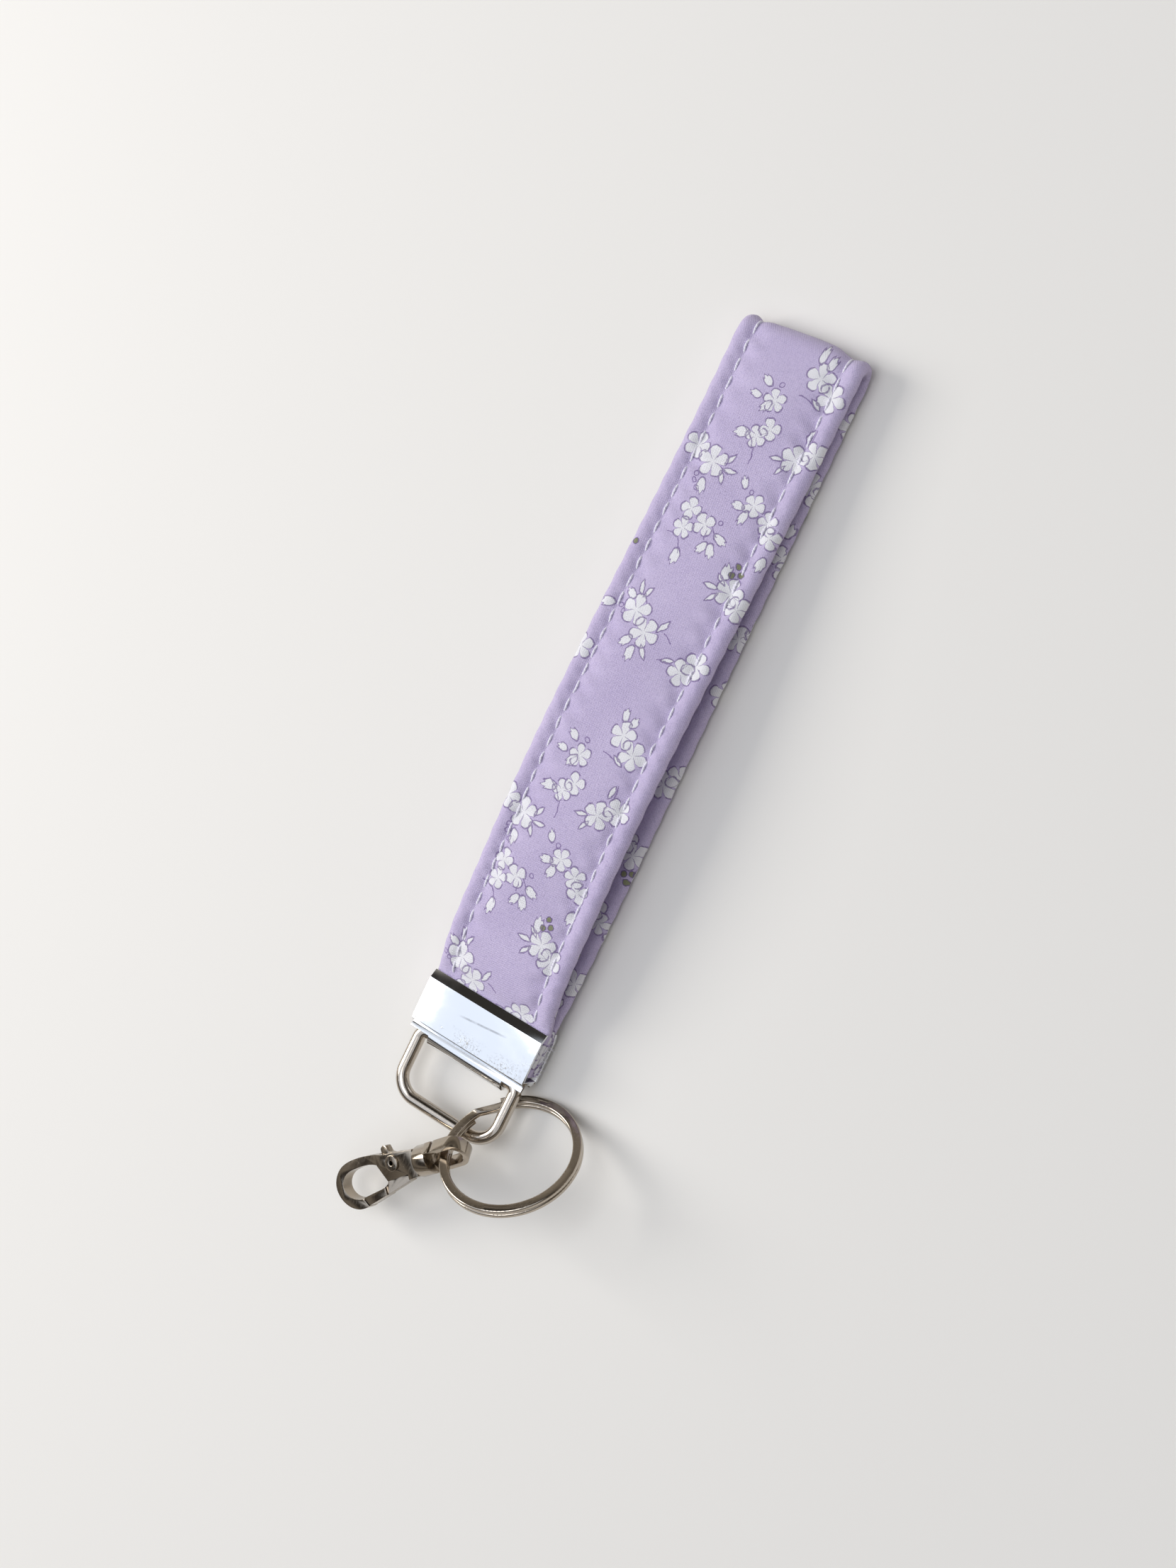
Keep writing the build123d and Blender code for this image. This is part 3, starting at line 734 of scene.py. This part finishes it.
def clamp_nickel():
    """Mirror plate with dark speckled scuffs along the roll and at one end, and one long scratch."""
    shader = Shader("clamp_nickel")
    place = shader.place()
    split = shader.node("ShaderNodeSeparateXYZ", None, {0: place})
    x = Value(shader, split.outputs[0]) / mm
    y = Value(shader, split.outputs[1]) / mm
    speckle = shader.noise(1500.0, 5.0, 0.75)
    clouds = shader.noise(190.0, 4.0, 0.6)
    low_edge = (lip_y - 9.0 * mm) / mm
    near_roll = 1 - shader.ramp((y - low_edge).size(), 0.2, 2.2)
    near_end = shader.ramp(x, half_width / mm - 3.0, half_width / mm - 0.3)
    worn = (near_roll.at_least(near_end * 0.8) * shader.ramp(clouds, 0.42, 0.62)
            * shader.ramp(speckle, 0.50, 0.62))
    scratch_line = (y - (x * 0.10 + (lip_y / mm - 4.6))).size()
    scratch = ((1 - shader.ramp(scratch_line, 0.06, 0.28)) * shader.ramp(clouds, 0.40, 0.55)
               * (1 - shader.ramp((x - 1.0).size(), 3.0, 5.5)))
    haze = shader.ramp(clouds, 0.5, 0.8, 0.0, 0.10)
    colour = shader.mix(worn.at_least(scratch * 0.6) * 0.85, (0.86, 0.87, 0.88), (0.16, 0.15, 0.14))
    shader.set(Base_Color=colour, Metallic=1.0, Roughness=haze + worn * 0.25 + 0.09,
               Normal=shader.bump(speckle * worn + clouds * 0.25, 0.03 * mm, 0.35))
    return shader.material


# length of cloth from its end in the clamp to the middle of the front half, where the print is set out
cloth_at_middle = float(path_length[int(np.argmax(path[:, 0] > 0))]) / mm

cotton = printed_cotton()
thread = sewing_thread()
wire_nickel = nickel("wire_nickel", (0.54, 0.48, 0.41), 0.12, 0.3, 0.08)
ring_nickel = nickel("ring_nickel", (0.48, 0.42, 0.35), 0.12, 0.3, 0.08)
cast_nickel = nickel("cast_nickel", (0.40, 0.345, 0.28), 0.13, 0.3, 0.12)
plate_nickel = clamp_nickel()


def wadding_material():
    """White fibre wadding."""
    shader = Shader("wadding")
    fibre = shader.noise(2500.0, 5.0, 0.7)
    shader.set(Base_Color=shader.mix(fibre, (0.80, 0.80, 0.78), (0.95, 0.95, 0.94)),
               Roughness=shader.ramp(fibre, 0, 1, 0.85, 1.0), Normal=shader.bump(fibre, 0.2 * mm, 0.6))
    return shader.material


wadding = wadding_material()


def dress(piece, material):
    """Gives a piece one finish."""
    piece.data.materials.clear()
    piece.data.materials.append(material)


dress(strap, cotton)
for piece in (*stitches.values(), fray):
    dress(piece, thread)
dress(clamp, plate_nickel)
for piece in (hook, lever, eye, rivet):
    dress(piece, cast_nickel)
dress(wire_loop, wire_nickel)
dress(split_ring, ring_nickel)
dress(gate_spring, cast_nickel)
dress(wadding_band, wadding)

# =============== the frame's bodies ===============
for piece, body, node, slot in (
        (clamp, "strap_and_clamp", "clamp", "nickel_plate"),
        (hook, "hook", "hook_body", "nickel_cast"),
        (lever, "gate", "gate_lever", "nickel_cast"),
        (eye, "eye", "swivel_eye", "nickel_cast"),
        (rivet, "hook", "rivet", "nickel_cast"),
        (wire_loop, "loop", "wire_loop", "nickel_wire"),
        (split_ring, "ring", "split_ring", "nickel_wire"),
        (gate_spring, "hook", "gate_spring", "nickel_cast")):
    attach(piece, body)
    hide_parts(node)
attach(strap, "strap_and_clamp")
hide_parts("strap_cover")
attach(wadding_band, "strap_and_clamp")
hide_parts("strap_padding")
for (row, face), piece in stitches.items():
    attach(piece, "strap_and_clamp")
    if face == "outer":
        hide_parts(f"topstitch_{row}")
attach(fray, "strap_and_clamp")

# =============== floor, light and camera ===============
clean_start()
bpy.ops.mesh.primitive_plane_add(size=4)
floor = bpy.context.object
floor.name = "floor"
floor_shader = Shader("floor_paper")
floor_shader.set(Base_Color=(0.80, 0.775, 0.735), Roughness=0.95)
floor.data.materials.append(floor_shader.material)


def soft_light(name, place, aim, size, power, colour):
    """A wide lamp that shines from a place towards a point."""
    data = bpy.data.lights.new(name, "AREA")
    data.shape = "RECTANGLE"
    data.size, data.size_y = size
    data.energy = power
    data.color = colour
    lamp = bpy.data.objects.new(name, data)
    bpy.context.scene.collection.objects.link(lamp)
    lamp.location = place
    lamp.rotation_euler = (Vector(aim) - Vector(place)).to_track_quat("-Z", "Y").to_euler()


middle = (0, -0.02, 0)
soft_light("window", (-0.78, -0.16, 0.52), middle, (0.50, 0.50), 6.4, (1.0, 0.985, 0.96))
soft_light("ceiling", (-0.05, 0.0, 0.95), middle, (0.50, 0.50), 2.2, (0.95, 0.97, 1.0))

world = bpy.data.worlds.new("studio")
bpy.context.scene.world = world
world.use_nodes = True
background = world.node_tree.nodes["Background"]
background.inputs["Strength"].default_value = 0.62
# a room for the metal to mirror: warm ground, dark walls above eye level and a bright ceiling
sky = world.node_tree.nodes.new("ShaderNodeTexCoord")
part_sky = world.node_tree.nodes.new("ShaderNodeSeparateXYZ")
room = world.node_tree.nodes.new("ShaderNodeValToRGB")
world.node_tree.links.new(sky.outputs["Generated"], part_sky.inputs[0])
world.node_tree.links.new(part_sky.outputs["Z"], room.inputs[0])
ROOM = [(0.0, (0.30, 0.26, 0.22)), (0.12, (0.62, 0.57, 0.50)), (0.30, (0.16, 0.14, 0.12)),
        (0.42, (0.55, 0.51, 0.46)), (0.54, (0.07, 0.06, 0.055)), (0.70, (0.09, 0.085, 0.08)),
        (0.78, (1.25, 1.32, 1.45)), (1.0, (1.15, 1.20, 1.30))]
while len(room.color_ramp.elements) < len(ROOM):
    room.color_ramp.elements.new(0.5)
for element, (position, colour) in zip(room.color_ramp.elements, ROOM):
    element.position = position
    element.color = (*colour, 1)



def room_patch(colour, direction, narrow, wide, paint):
    """Paints a soft round patch of the room in one direction."""
    tree = world.node_tree
    dot = tree.nodes.new("ShaderNodeVectorMath")
    dot.operation = "DOT_PRODUCT"
    tree.links.new(sky.outputs["Generated"], dot.inputs[0])
    dot.inputs[1].default_value = Vector(direction).normalized()
    fade = tree.nodes.new("ShaderNodeMapRange")
    fade.interpolation_type = "SMOOTHSTEP"
    tree.links.new(dot.outputs["Value"], fade.inputs["Value"])
    fade.inputs["From Min"].default_value = math.cos(math.radians(wide))
    fade.inputs["From Max"].default_value = math.cos(math.radians(narrow))
    mixed = tree.nodes.new("ShaderNodeMix")
    mixed.data_type = "RGBA"
    tree.links.new(fade.outputs["Result"], mixed.inputs["Factor"])
    tree.links.new(colour, mixed.inputs[6])
    mixed.inputs[7].default_value = (*paint, 1)
    return mixed.outputs[2]


room_colour = room_patch(room.outputs[0], (-0.39, -0.25, 0.89), 16, 24, (1.50, 1.62, 1.85))
room_colour = room_patch(room_colour, (-0.39, 0.63, 0.67), 12, 22, (0.05, 0.045, 0.04))
world.node_tree.links.new(room_colour, background.inputs["Color"])

camera_data = bpy.data.cameras.new("camera")
camera_data.sensor_fit = "HORIZONTAL"
camera_data.sensor_width = 36
camera_data.lens = 69.44
camera = bpy.data.objects.new("camera", camera_data)
bpy.context.scene.collection.objects.link(camera)
camera.location = (162.4 * mm, 33.4 * mm, 370.8 * mm)
camera.rotation_euler = Euler([math.radians(a) for a in (3.866, 25.049, 27.72)], "XYZ")
bpy.context.scene.camera = camera
bpy.context.scene.view_settings.view_transform = "Standard"
